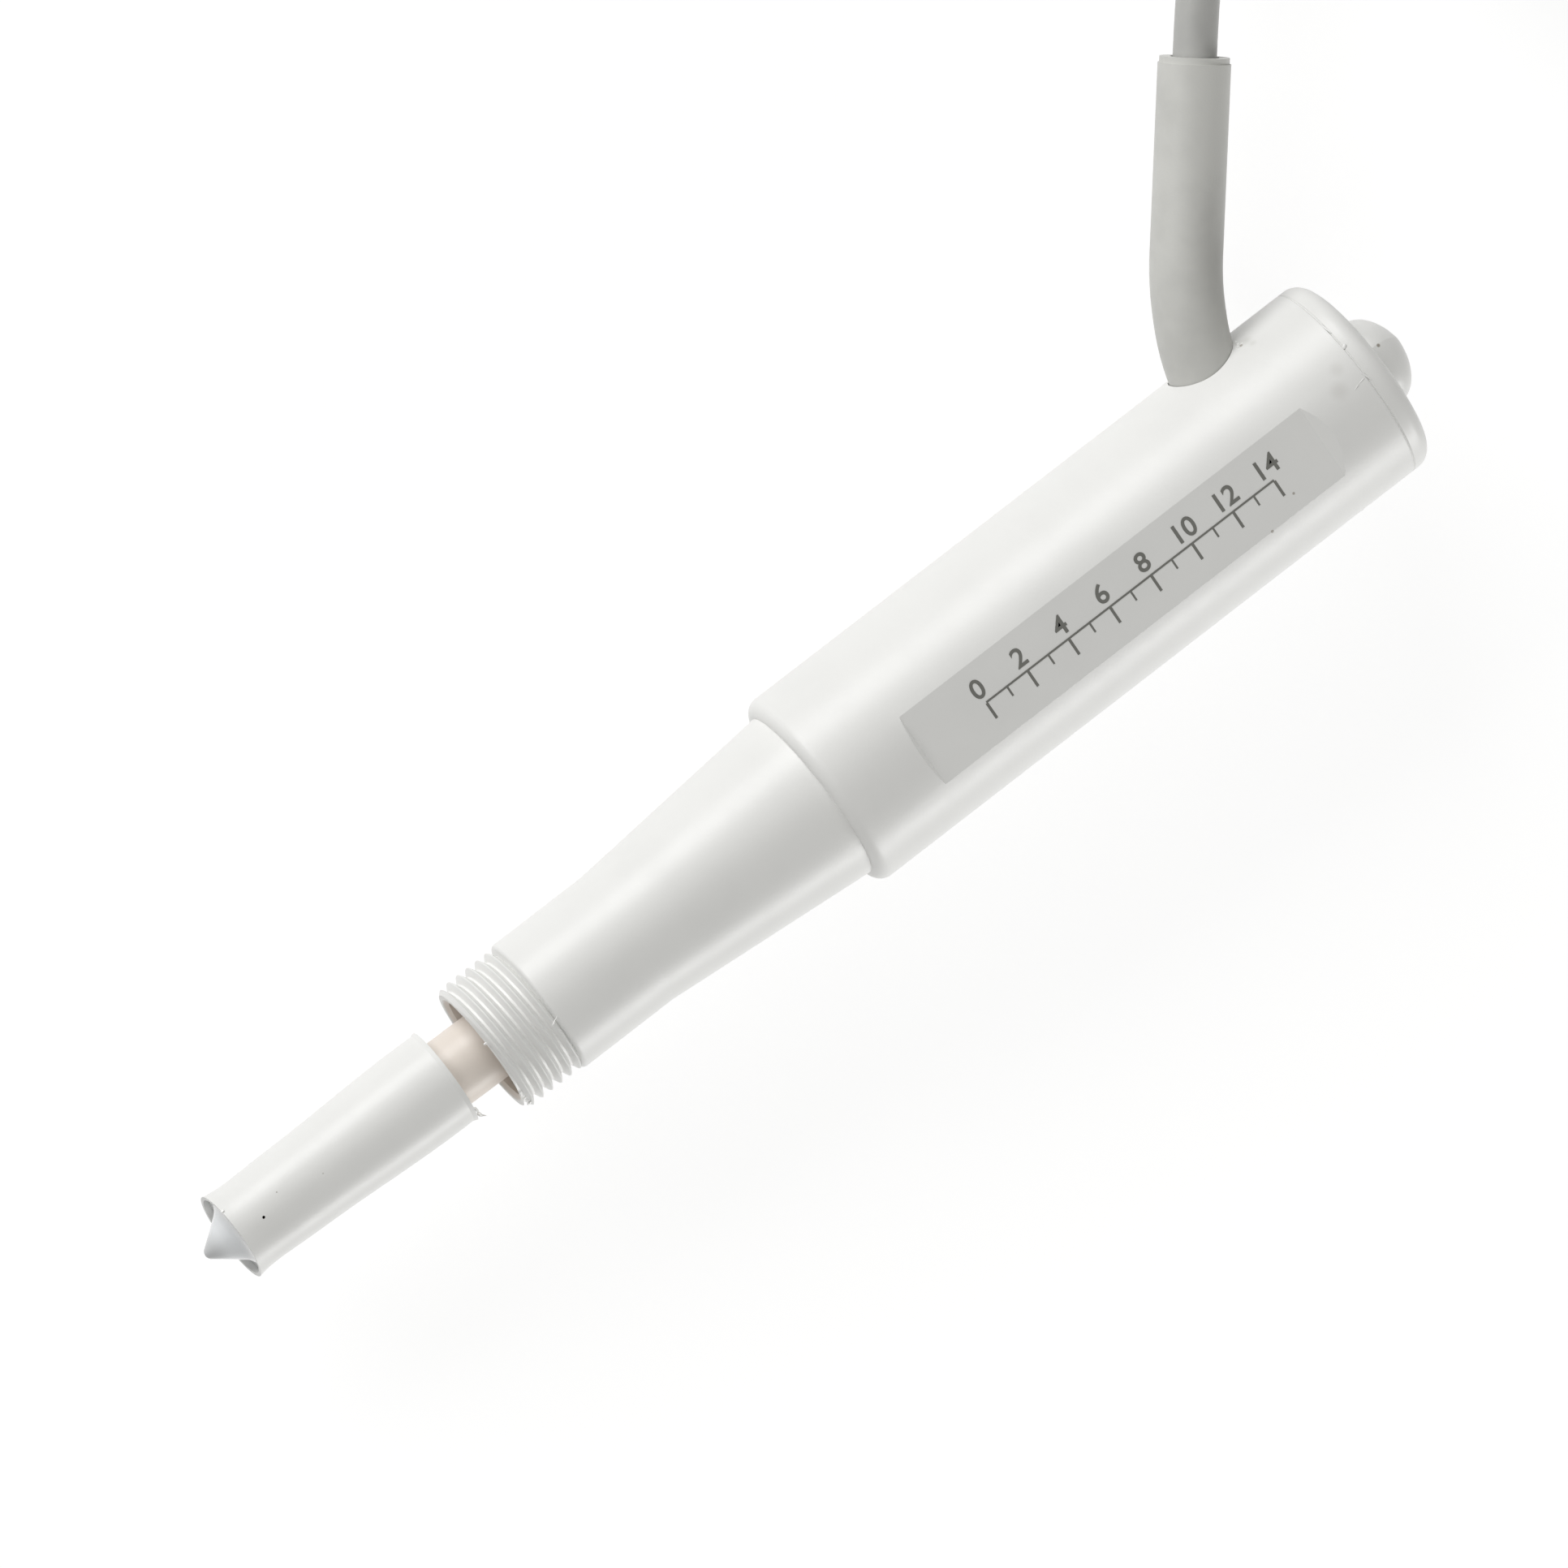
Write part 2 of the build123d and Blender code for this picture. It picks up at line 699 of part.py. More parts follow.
def tail_points():
    """The end of the cable climbs from the inner top turn, turns tighter and runs into the plug."""
    cx, cy = coil_centre
    top_layer = coil_top - cable_radius
    half_step = math.radians(15)
    start = math.radians(150)
    drop = coil_inner_turn - tail_turn
    x0 = coil_inner_turn * math.cos(start) - tail_root * math.sin(start)
    y0 = coil_inner_turn * math.sin(start) + tail_root * math.cos(start)
    corners = [(x0, y0)]
    for turn, radius, shift in ((135, coil_inner_turn, 0), (105, coil_inner_turn, 0),
                                (75, tail_turn, drop), (45, tail_turn, drop), (15, tail_turn, drop)):
        reach = radius / math.cos(half_step)
        corners.append((reach * math.cos(math.radians(turn)), shift + reach * math.sin(math.radians(turn))))
    climb = (0.0, 0.05, 0.25, 0.55, 0.85, 1.0)
    rise = plug_axis_z - top_layer
    points = [(cx + x, cy + y, top_layer + rise * part) for (x, y), part in zip(corners, climb)]
    return points + [(plug_x, plug_y - boot_hold, plug_axis_z)]


def cable_coil():
    """The wound turns as one closed ring, with the lead-in from the probe and the end that climbs to the plug."""
    inner = coil_inner_turn - cable_radius - coil_margin
    outer = coil_outer_turn + cable_radius + coil_margin
    low = coil_low - cable_radius - coil_margin
    height = coil_top + coil_margin - low
    ring = Cylinder(outer, height) - Cylinder(inner, height)
    ring = fillet(ring.edges().filter_by(GeomType.CIRCLE), 0.9 * cable_radius)
    ring = Pos(*coil_centre, low + height / 2) * ring
    x, y = lead_in_start()
    start = Vector(x, y, coil_low)
    heading = start - Vector(*cable_last_bend, coil_low)
    lead_in = extrude(disc_across(start, heading, cable_radius), amount=coil_lead_in, dir=heading)
    return ring + lead_in + swept_rod(tail_points(), cable_radius)


def coil_tie():
    """A flat strap once round the bundle of turns."""
    coil_bottom = coil_low - cable_radius
    loose = coil_margin + snug
    hollow_width = coil_outer_turn - coil_inner_turn + 2 * (cable_radius + loose)
    hollow_height = coil_top - coil_bottom + 2 * loose
    middle = Vector((coil_inner_turn + coil_outer_turn) / 2, 0, (coil_bottom + coil_top) / 2)
    section = Plane(origin=middle, x_dir=(1, 0, 0), z_dir=(0, -1, 0))
    rounding = 0.9 * cable_radius
    strap = section * RectangleRounded(
        hollow_width + 2 * tie_thickness, hollow_height + 2 * tie_thickness, rounding + tie_thickness
    )
    strap -= section * RectangleRounded(hollow_width, hollow_height, rounding)
    sweep_angle = math.degrees(tie_width / middle.X)
    band = revolve(strap, axis=Axis.Z, revolution_arc=sweep_angle)
    return Pos(*coil_centre, 0) * Rot(0, 0, tie_turn) * band


def plug_boot():
    """Ribbed strain relief: thin where the cable enters."""
    body = turned([(0, 0), (0, boot_rear_radius), (boot_length, boot_front_radius), (boot_length, 0)])
    pitch = (boot_length - 3) / boot_rib_count
    for i in range(boot_rib_count):
        x = 1.4 + i * pitch
        body -= rod(x, 0, 0, boot_front_radius + 1, pitch / 2) - rod(x, 0, 0, boot_rear_radius - boot_rib, pitch / 2)
    return body - rod(0, 0, 0, cable_radius + snug, boot_hold)


def plug_grip():
    start = boot_length
    end = start + grip_length
    body = rod(start, 0, 0, grip_radius, grip_length)
    body = fillet(body.edges().filter_by(GeomType.CIRCLE), grip_rounding)
    for i in range(grip_rib_count):
        turn = Rot(360 * (i + 0.5) / grip_rib_count, 0, 0)
        body -= turn * rod(start + 3, 0, grip_radius + grip_rib, 2 * grip_rib, grip_length - 6)
    return body - rod(end - plug_shell_hold, 0, 0, plug_shell_radius - plug_shell_step + snug, plug_shell_hold)


def plug_shell():
    """A keyed metal tube. Its rear end is stepped down where the grip holds it."""
    start = boot_length + grip_length - plug_shell_hold
    length = plug_shell_hold + plug_shell_length
    body = rod(start, 0, 0, plug_shell_radius - plug_shell_step, plug_shell_hold)
    body += rod(start + plug_shell_hold, 0, 0, plug_shell_radius, plug_shell_length)
    body -= rod(start, 0, 0, plug_shell_radius - plug_shell_wall, length)
    slot = Pos(start + length - key_slot_length / 2, 0, -plug_shell_radius)
    return body - slot * Box(key_slot_length, key_slot_width, 3 * plug_shell_wall)


def insert_face():
    return boot_length + grip_length - plug_shell_hold + insert_length


def pin_places():
    """The pins stand on three quarters of a circle, as (y, z)."""
    turns = [i * pin_gap_angle for i in range(pin_count)]
    middle = turns[-1] / 2
    return [
        (pin_circle * math.sin(math.radians(a - middle)), pin_circle * math.cos(math.radians(a - middle)))
        for a in turns
    ]


def plug_insert():
    start = insert_face() - insert_length
    body = rod(start, 0, 0, plug_shell_radius - plug_shell_wall - snug, insert_length)
    for y, z in pin_places():
        body -= rod(insert_face() - pin_hold, y, z, pin_radius + snug, pin_hold)
    return body


def plug_pins():
    pins = []
    for y, z in pin_places():
        pin = rod(insert_face() - pin_hold, y, z, pin_radius, pin_hold + pin_length)
        pins.append(fillet(pin.edges().group_by(Axis.X)[-1], 0.8 * pin_radius))
    return Compound(children=pins)


os.makedirs("parts", exist_ok=True)
probe_pieces = {
    "handle_shell": handle_shell,
    "end_cap": end_cap,
    "neck": neck,
    "seal_ring": seal_ring,
    "stem_seal": stem_seal,
    "circuit_board": circuit_board,
    "amplifier_chip": amplifier_chip,
    "resistors": resistors,
    "capacitor": capacitor,
    "board_pins": board_pins,
    "electrode_leads": electrode_leads,
    "core_wires": core_wires,
    "cable_sleeve": cable_sleeve,
    "cable_tail": cable_tail,
    "cable_clamp": cable_clamp,
}
electrode_pieces = {
    "stem_tube": stem_tube,
    "tip_sleeve": tip_sleeve,
    "glass_cone": glass_cone,
    "stem_plug": stem_plug,
    "inner_wire": inner_wire,
    "reference_wire": reference_wire,
    "temperature_sensor": temperature_sensor,
    "sensor_leads": sensor_leads,
}
plug_pieces = {
    "plug_boot": plug_boot,
    "plug_grip": plug_grip,
    "plug_shell": plug_shell,
    "plug_insert": plug_insert,
    "plug_pins": plug_pins,
}
placed_pieces = {"cable": cable, "cable_coil": cable_coil, "coil_tie": coil_tie}
places = [
    (probe_place, probe_pieces),
    (electrode_place, electrode_pieces),
    (plug_place, plug_pieces),
    (Pos(0, 0, 0), placed_pieces),
]
for place, pieces in places:
    for name, make in pieces.items():
        export_step(place * make(), f"parts/{name}.step")

route_radii = soft_path(cable_route())[1]
tail_radii = soft_path(tail_points())[1]
print("cable bend radii", [round(r, 1) for r in route_radii], "tail", [round(r, 1) for r in tail_radii])
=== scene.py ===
import json
import math

import bpy
import bmesh
from mathutils import Matrix, Vector, noise


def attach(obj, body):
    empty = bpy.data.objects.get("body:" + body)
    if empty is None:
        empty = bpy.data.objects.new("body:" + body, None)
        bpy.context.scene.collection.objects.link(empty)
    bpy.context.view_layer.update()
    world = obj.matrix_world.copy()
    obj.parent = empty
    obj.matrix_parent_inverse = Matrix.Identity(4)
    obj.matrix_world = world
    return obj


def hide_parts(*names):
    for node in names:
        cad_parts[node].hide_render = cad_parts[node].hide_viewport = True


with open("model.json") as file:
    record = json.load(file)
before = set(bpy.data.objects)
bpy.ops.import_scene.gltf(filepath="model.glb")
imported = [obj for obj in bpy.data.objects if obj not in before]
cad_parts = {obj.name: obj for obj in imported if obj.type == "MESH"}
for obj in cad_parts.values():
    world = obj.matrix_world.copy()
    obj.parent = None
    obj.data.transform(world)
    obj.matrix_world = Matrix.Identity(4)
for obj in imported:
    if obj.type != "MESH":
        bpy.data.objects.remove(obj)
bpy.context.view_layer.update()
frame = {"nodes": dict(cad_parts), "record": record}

# One millimetre. What is multiplied by it is in metres
MM = 0.001

# The probe, in the frame of the CAD model
front_x = 0.4 * MM
axis_z = 12.5 * MM
handle_radius = 12.5 * MM
label_depth = 0.951 * MM
label_z = axis_z + handle_radius - label_depth

# The electrode leans a little in the neck. Its places are in millimetres from the handle's front face
lean_pivot = -40.3
lean_angle = math.radians(0.9)
cone_tip = -85.7

# The photograph's camera
look_ahead = -1.27 * MM
look_aside = 2.93 * MM
camera_distance = 1.5
lens_mm = 306.9
sensor_mm = 36.0
view_lean = math.radians(18.0)
view_tilt = math.radians(8.5)
view_roll = math.radians(37.65)

# The free cable and its coil: radius and length in metres, the rest in millimetres and degrees
cable_radius = 2.5 * MM
exit_point = (84.37, 41.06, 11.3)
cable_bends = [(89.9, 48.15, 10.91), (97.8, 55.75, 8.9), (107.0, 61.3, 5.7), (117.2, 65.1, 3.15)]
coil_entry = (127.58, 67.82, 3.15)
coil_centre = (153.05, 44.0)
coil_inner_turn = 24.5
coil_outer_turn = 29.5
coil_low = 3.15
coil_turns = 5
coil_first_angle = 104.7
coil_shift_every = 300.0
coil_shift_over = 60.0
coil_last_angle = 150.0
layer_step = 5.0
turn_points = 24
tail_turn = 22.0
boot_hold = 6.0
plug_axis_z = 23.3

# The print on the label flat, in millimetres
print_start = 20.4
print_pitch = 2.95
print_marks = 15
print_line = -0.2
print_height = 0.02
print_size = 3.3
print_line_width = 0.24
long_tick = (0.34, 2.1)
short_tick = (0.24, 1.2)
number_lift = 0.85
number_weight = 0.05

# Where the beige painted shade inside the neck's mouth starts and is whole, from its axis
mouth_shade_edge = 7.15 * MM
mouth_shade_whole = 6.85 * MM

# Where the glass turns white and where it turns grey, behind its nose
glass_white = (3.6 * MM, 4.6 * MM)
glass_grey = (2.6 * MM, 0.6 * MM)

# The colour sockets of a Mix node, which has others of the same names
mix_first = 6
mix_second = 7
mix_result = 2

# How uneven the drops and shavings are
lump_roughness = 0.25
lump_ripple = 1.7
lump_shift = 4000

# The floor: half its side in metres, and its greys as light falls on it and as it is seen
floor_reach = 3.0
floor_matte = 0.8
floor_seen = 0.35
floor_glow = 0.8

# The light: an even room, and soft boxes of one width at one distance, in metres and watts
room_colour = (1, 0.995, 0.96, 1)
room_strength = 0.33
box_distance = 1.6
box_width = 1.6
soft_boxes = [
    {"name": "upper_left_box", "direction": (-0.1, 0.95, 0.33), "height": 0.8, "power": 21},
    {"name": "lower_right_box", "direction": (0.1, -0.98, 0.18), "height": 0.5, "power": 16.5},
]


def linear(*colour):
    """A colour as a screen shows it, turned into light."""
    values = [c / 12.92 if c <= 0.04045 else ((c + 0.055) / 1.055) ** 2.4 for c in colour]
    return (*values, 1.0)


class Value:
    """A number that nodes work out at each point of a surface."""

    def __init__(self, nodes, socket):
        self.nodes = nodes
        self.socket = socket

    def maths(self, operation, *others, turned=False):
        """One maths node. Turned puts this value after the others."""
        values = (*others, self) if turned else (self, *others)
        return Value(self.nodes, self.nodes.node("ShaderNodeMath", *values, operation=operation).outputs[0])

    def __add__(self, other):
        return self.maths("ADD", other)

    def __sub__(self, other):
        return self.maths("SUBTRACT", other)

    def __mul__(self, other):
        return self.maths("MULTIPLY", other)

    def __pow__(self, other):
        return self.maths("POWER", other)

    __radd__ = __add__
    __rmul__ = __mul__

    def __rsub__(self, other):
        return self.maths("SUBTRACT", other, turned=True)

    def __rpow__(self, other):
        return self.maths("POWER", other, turned=True)

    def between(self, low, high):
        """0 below low, 1 above high and smooth on the way."""
        node = self.nodes.node("ShaderNodeMapRange", interpolation_type="SMOOTHSTEP")
        self.nodes.feed(node.inputs["Value"], self)
        node.inputs["From Min"].default_value = low
        node.inputs["From Max"].default_value = high
        return Value(self.nodes, node.outputs["Result"])


class Nodes:
    """A node tree and short ways to add to it."""

    def __init__(self, tree):
        self.tree = tree

    def node(self, kind, *values, **settings):
        """A new node with its settings, and with its first inputs fed in their order."""
        made = self.tree.nodes.new(kind)
        for key, value in settings.items():
            setattr(made, key, value)
        for socket, value in zip(made.inputs, values):
            self.feed(socket, value)
        return made

    def feed(self, socket, value):
        if isinstance(value, Value):
            value = value.socket
        if isinstance(value, bpy.types.NodeSocket):
            self.tree.links.new(value, socket)
        else:
            socket.default_value = value

    def seen_directly(self):
        """1 for rays from the camera and for those that gloss and glass send on."""
        path = self.node("ShaderNodeLightPath")
        total = Value(self, path.outputs["Is Camera Ray"])
        for name in ("Is Glossy Ray", "Is Transmission Ray"):
            total = total.maths("MAXIMUM", Value(self, path.outputs[name]))
        return total


class Finish(Nodes):
    """One material: its shader and the layers painted on it."""

    def __init__(self, name, colour, roughness, **shader):
        self.material = bpy.data.materials.new(name)
        self.material.use_nodes = True
        super().__init__(self.material.node_tree)
        self.shader = self.tree.nodes["Principled BSDF"]
        self.colour = colour
        self.shader.inputs["Base Color"].default_value = colour
        self.shader.inputs["Roughness"].default_value = roughness
        for key, value in shader.items():
            self.shader.inputs[key.replace("_", " ").title()].default_value = value
        self.place = self.node("ShaderNodeTexCoord").outputs["Object"]

    def coordinate(self, axis):
        split = self.node("ShaderNodeSeparateXYZ", self.place)
        return Value(self, split.outputs[axis])

    def grain(self, size, detail=2.0, stretch=(1, 1, 1)):
        """Noise from 0 to 1 with patches of the given size."""
        mapping = self.node("ShaderNodeMapping", self.place)
        mapping.inputs["Scale"].default_value = stretch
        noise_node = self.node("ShaderNodeTexNoise", mapping.outputs[0])
        noise_node.inputs["Scale"].default_value = 1 / size
        noise_node.inputs["Detail"].default_value = detail
        return Value(self, noise_node.outputs[0])

    def distance(self, point):
        """How far each place is from one point."""
        node = self.node("ShaderNodeVectorMath", self.place, point, operation="DISTANCE")
        return Value(self, node.outputs["Value"])

    def mix(self, share, first, second):
        node = self.node("ShaderNodeMix", data_type="RGBA")
        self.feed(node.inputs["Factor"], share)
        self.feed(node.inputs[mix_first], first)
        self.feed(node.inputs[mix_second], second)
        return node.outputs[mix_result]

    def paint(self, share, other):
        """Another colour over the present one, where share says."""
        self.colour = self.mix(share, self.colour, other)
        self.feed(self.shader.inputs["Base Color"], self.colour)

    def dull(self, share, low, high):
        """Roughness from low to high."""
        self.feed(self.shader.inputs["Roughness"], share * (high - low) + low)

    def raise_by(self, height, distance):
        bump = self.node("ShaderNodeBump")
        bump.inputs["Distance"].default_value = distance
        self.feed(bump.inputs["Height"], height)
        self.feed(self.shader.inputs["Normal"], bump.outputs[0])


def on_probe(along, aside, up):
    """A point measured from the handle's front face and the probe's axis, in millimetres."""
    return (front_x + along * MM, aside * MM, axis_z + up * MM)


def on_electrode(along, aside, up):
    """The same for a point that leans with the electrode."""
    reach = along - lean_pivot
    cosine, sine = math.cos(lean_angle), math.sin(lean_angle)
    return on_probe(lean_pivot + reach * cosine + aside * sine, aside * cosine - reach * sine, up)


def moulded(name, colour, roughness, mottle=0.012, marks=()):
    """Moulded plastic: a soft gloss, faint clouds and a very fine skin.

    Each mark is a point, a radius in millimetres, a softness, a share and a colour. Most marks are dirt;
    some are painted shadow.
    """
    finish = Finish(name, linear(*colour), roughness)
    clouds = finish.grain(9 * MM, 3.0)
    darker = linear(*(c * (1 - mottle) for c in colour))
    finish.paint(clouds.between(0.4, 0.75), darker)
    for point, radius, softness, share, dirt_and_shade in marks:
        edge = finish.distance(point).between(radius * MM, radius * (1 - softness) * MM)
        finish.paint(edge * share, linear(*dirt_and_shade))
    finish.dull(finish.grain(2 * MM), roughness - 0.04, roughness + 0.06)
    finish.raise_by(finish.grain(0.35 * MM, 3.0), 0.012 * MM)
    return finish


def neck_plastic():
    """The neck's plastic, with beige painted shade inside its mouth, warmed as by light off the beige stem.
    """
    finish = moulded("white_neck", white, gloss, marks=[
        (on_probe(-18.5, -1.05, 9.54), 0.16, 0.5, 0.7, grime),
        (on_probe(-40.0, -7.37, 4.23), 0.35, 0.6, 0.8, grime),
    ])
    aside = finish.coordinate(1)
    up = finish.coordinate(2) - axis_z
    from_axis = (aside * aside + up * up) ** 0.5
    # Painted shade: the bore inside the mouth is painted a darker, warmer beige
    finish.paint(from_axis.between(mouth_shade_edge, mouth_shade_whole), linear(0.87, 0.835, 0.80))
    return finish


def metal(name, colour, roughness):
    """Plated or drawn metal with fine scratches along it."""
    finish = Finish(name, linear(*colour), roughness, metallic=1.0)
    streaks = finish.grain(0.5 * MM, 2.0, (0.1, 1, 1))
    finish.dull(streaks, roughness - 0.05, roughness + 0.12)
    finish.paint(finish.grain(3 * MM) * 0.2, linear(*(c * 0.8 for c in colour)))
    return finish


def glass():
    """The pH glass: grey at the nose, fading to white towards the sleeve."""
    finish = Finish("ph_glass", linear(0.87, 0.88, 0.89), 0.12, coat_weight=0.6, coat_roughness=0.05)
    along = finish.coordinate(0)
    nose = front_x + cone_tip * MM
    finish.paint(along.between(*(nose + c for c in glass_white)), linear(0.93, 0.93, 0.925))
    finish.paint(along.between(*(nose + c for c in glass_grey)), linear(0.74, 0.745, 0.75))
    finish.paint(finish.grain(0.8 * MM) * 0.15, linear(0.90, 0.905, 0.91))
    return finish


def board():
    """Green laminate with tracks that show through the lacquer."""
    finish = Finish("board_laminate", linear(0.09, 0.30, 0.16), 0.35)
    weave = finish.grain(0.4 * MM, 1.0, (1, 4, 1))
    finish.paint(weave * 0.3, linear(0.12, 0.38, 0.2))
    tracks = finish.grain(2.5 * MM, 0.0, (0.25, 1, 1))
    finish.paint(tracks.between(0.52, 0.54) * 0.6, linear(0.16, 0.42, 0.2))
    return finish


def jacket(name, colour, roughness):
    """Extruded jacket: dull, with faint draw lines."""
    finish = Finish(name, linear(*colour), roughness)
    finish.paint(finish.grain(6 * MM, 3.0).between(0.35, 0.8), linear(*(c * 0.95 for c in colour)))
    finish.dull(finish.grain(1.2 * MM), roughness - 0.05, roughness + 0.07)
    finish.raise_by(finish.grain(0.25 * MM, 3.0), 0.015 * MM)
    return finish


def bright(name):
    """Raw edges, glue and flash, and a painted highlight: clear white with a wet gloss."""
    return Finish(name, linear(0.95, 0.95, 0.94), 0.2, coat_weight=0.5)


white = (0.905, 0.905, 0.898)
grime = (0.50, 0.46, 0.40)
gloss = 0.36
finishes = {
    "white_plastic": moulded("white_plastic", white, gloss),
    "beige_plastic": moulded("beige_plastic", (0.90, 0.865, 0.83), 0.4),
    "beige_resin": moulded("beige_resin", (0.80, 0.76, 0.70), 0.55, 0.06),
    "black_rubber": moulded("black_rubber", (0.10, 0.10, 0.10), 0.6, 0.1),
    "board_green": board(),
    "black_plastic": moulded("black_plastic", (0.13, 0.13, 0.135), 0.45, 0.1),
    "resistor_tan": moulded("resistor_tan", (0.72, 0.62, 0.44), 0.35, 0.08),
    "tinned_metal": metal("tinned_metal", (0.78, 0.78, 0.76), 0.35),
    "lead_insulation": jacket("lead_insulation", (0.55, 0.57, 0.60), 0.5),
    "grey_sleeve": jacket("grey_sleeve", (0.80, 0.80, 0.785), 0.45),
    "grey_jacket": jacket("grey_jacket", (0.70, 0.70, 0.69), 0.45),
    "ph_glass": glass(),
    "silver_wire": metal("silver_wire", (0.80, 0.79, 0.77), 0.25),
    "grey_plastic": moulded("grey_plastic", (0.62, 0.62, 0.61), 0.4, 0.05),
    "nickel": metal("nickel", (0.82, 0.81, 0.78), 0.2),
    "gold_contact": metal("gold_contact", (0.87, 0.72, 0.40), 0.22),
}
marked_finishes = {
    "neck": neck_plastic(),
    "handle_shell": moulded("white_handle", white, gloss, marks=[
        (on_probe(62.72, -2.75, 11.55), 0.22, 0.6, 0.7, grime),
        (on_probe(58.27, -4.79, 11.55), 0.26, 0.6, 0.7, grime),
        # Painted shadow: two soft grey patches beside the glue at the cable's root
        (on_probe(69.75, 12.16, 2.89), 1.1, 0.9, 0.4, (0.76, 0.76, 0.74)),
        (on_probe(70.02, 11.73, 4.0), 0.7, 0.9, 0.3, (0.76, 0.76, 0.74)),
        (on_probe(68.95, 12.12, 3.06), 0.3, 0.5, 0.6, grime),
        (on_probe(73.49, 3.66, 11.95), 1.5, 0.9, 0.12, grime),
        (on_probe(74.83, 5.62, 11.16), 1.2, 0.9, 0.10, grime),
        (on_probe(1.2, -12.0, 3.4), 0.5, 0.8, 0.2, grime),
    ]),
    "end_cap": moulded("white_cap", white, gloss, marks=[
        (on_probe(81.56, 2.91, 5.25), 0.3, 0.5, 0.8, grime),
    ]),
    "tip_sleeve": moulded("white_sleeve", white, gloss, marks=[
        (on_electrode(-75.58, 2.47, 4.62), 0.13, 0.4, 0.6, grime),
        (on_electrode(-70.2, 1.2, 5.28), 0.12, 0.4, 0.35, grime),
    ]),
}


def dress_nodes():
    """Every CAD node gets the finish that the record names for it, or its own with its marks."""
    for part in frame["record"]["subparts"]:
        shown = frame["nodes"][part["node"]]
        finish = marked_finishes.get(part["node"], finishes[part["material_slot"]])
        shown.data.materials.clear()
        shown.data.materials.append(finish.material)


def coil_points():
    """The wound turns. The cable shifts to the next place every 300 degrees, so no turn lies in another."""
    low, middle, top = (coil_low + i * layer_step for i in range(3))
    places = [
        (coil_outer_turn, low), (coil_inner_turn, low), (coil_inner_turn, middle),
        (coil_outer_turn, middle), (coil_outer_turn, top), (coil_inner_turn, top),
    ]
    step = 360 / turn_points
    whole = coil_first_angle - coil_last_angle + 360 * coil_turns
    count = round(whole / step)
    stretch = 1 / math.cos(math.radians(step / 2))
    points = []
    for i in range(count + 1):
        turned = whole * i / count
        place = int(turned // coil_shift_every)
        share = min((turned - place * coil_shift_every) / coil_shift_over, 1.0)
        share = share * share * (3 - 2 * share)
        before = places[max(place - 1, 0)]
        after = places[place]
        radius, height = (a + (b - a) * share for a, b in zip(before, after))
        angle = math.radians(coil_first_angle - turned)
        x = coil_centre[0] + radius * stretch * math.cos(angle)
        y = coil_centre[1] + radius * stretch * math.sin(angle)
        points.append((x, y, height))
    return points


def tail_points():
    """The end climbs from the inner top turn, turns tighter and runs into the plug's boot."""
    top = coil_low + 2 * layer_step
    drop = coil_inner_turn - tail_turn
    half_step = math.radians(15)
    points = []
    bends = ((135, coil_inner_turn, 0, 0.05), (105, coil_inner_turn, 0, 0.25), (75, tail_turn, drop, 0.55),
             (45, tail_turn, drop, 0.85), (15, tail_turn, drop, 1.0))
    for turn, radius, shift, climb in bends:
        reach = radius / math.cos(half_step)
        x = coil_centre[0] + reach * math.cos(math.radians(turn))
        y = coil_centre[1] + shift + reach * math.sin(math.radians(turn))
        points.append((x, y, top + (plug_axis_z - top) * climb))
    points.append((coil_centre[0] + tail_turn, coil_centre[1] + drop - boot_hold, plug_axis_z))
    return points


def make_cable():
    """The free cable, its coil and its end in the plug's boot, as one cord."""
    route = [exit_point, *cable_bends, coil_entry, *coil_points(), *tail_points()]
    curve = bpy.data.curves.new("signal_cable", "CURVE")
    curve.dimensions = "3D"
    curve.bevel_depth = cable_radius
    curve.bevel_resolution = 6
    curve.use_fill_caps = True
    spline = curve.splines.new("NURBS")
    spline.points.add(len(route) - 1)
    for point, place in zip(spline.points, route):
        point.co = (*(c * MM for c in place), 1.0)
    spline.order_u = 3
    spline.use_endpoint_u = True
    spline.resolution_u = 6
    piece = bpy.data.objects.new("signal_cable", curve)
    bpy.context.collection.objects.link(piece)
    curve.materials.append(finishes["grey_jacket"].material)
    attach(piece, "root")
    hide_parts("cable", "cable_coil")


def add_piece(name, mesh, finish):
    """A small piece that rides on the probe."""
    piece = bpy.data.objects.new(name, mesh)
    bpy.context.collection.objects.link(piece)
    mesh.materials.append(finish.material)
    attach(piece, "root")
    return piece


def flat_box(builder, low, high, height):
    """A thin bar on the label flat, from one corner to the other in millimetres."""
    corners = []
    for level in (0.0, height):
        for x, y in ((low[0], low[1]), (high[0], low[1]), (high[0], high[1]), (low[0], high[1])):
            corners.append(builder.verts.new((front_x + x * MM, y * MM, label_z + level * MM)))
    for side in ((3, 2, 1, 0), (4, 5, 6, 7), (0, 1, 5, 4), (1, 2, 6, 5), (2, 3, 7, 6), (3, 0, 4, 7)):
        builder.faces.new([corners[i] for i in side])


